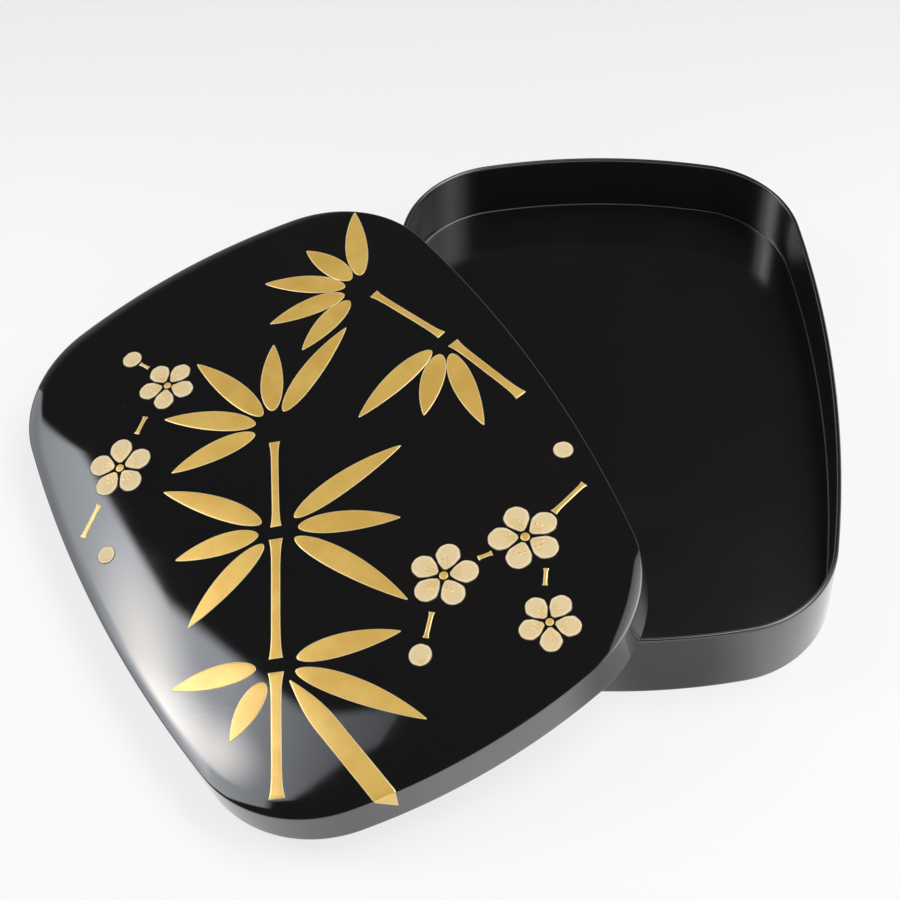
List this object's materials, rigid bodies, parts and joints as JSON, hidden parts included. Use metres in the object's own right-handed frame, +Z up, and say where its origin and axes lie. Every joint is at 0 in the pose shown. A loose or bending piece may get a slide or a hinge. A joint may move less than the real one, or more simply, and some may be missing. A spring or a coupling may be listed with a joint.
{
  "type": "lacquer writing box",
  "caption": "Open black lacquer tray with bulged sides, and its domed lid leaning across the rim, with raised gold bamboo and cream plum blossom.",
  "frame": {"origin": "on the table, at the middle of the footprint that the tray and the leaning lid have together", "axes": "+Z up; the tray's long sides run along Y, its short sides along X, and the lid leans on the tray from the -X side"},
  "size_m": [0.332, 0.3294, 0.0575],
  "materials": {
    "black_lacquer": "polished black lacquer over a wood core, with a faintly brown thin edge",
    "gold": "satin gold powder in lacquer, slightly raised",
    "cream": "satin cream lacquer with a peach tint and a fine dark outline"
  },
  "bodies": {
    "tray": {"tray_wall": "black_lacquer", "tray_foot": "black_lacquer", "tray_floor": "black_lacquer"},
    "lid": {"lid_band": "black_lacquer", "lid_top": "black_lacquer", "gold_bamboo_near": "gold", "gold_bamboo_far": "gold", "gold_twigs": "gold", "gold_leaf_over_ridge": "gold", "blossoms_near": "cream", "blossoms_far": "cream", "plum_buds": "cream"}
  },
  "joints": [
    {"name": "lid_lift", "type": "slide", "parent": "tray", "child": "lid", "axis": [0, 0, 1], "range_m": [0, 0.06]}
  ]
}
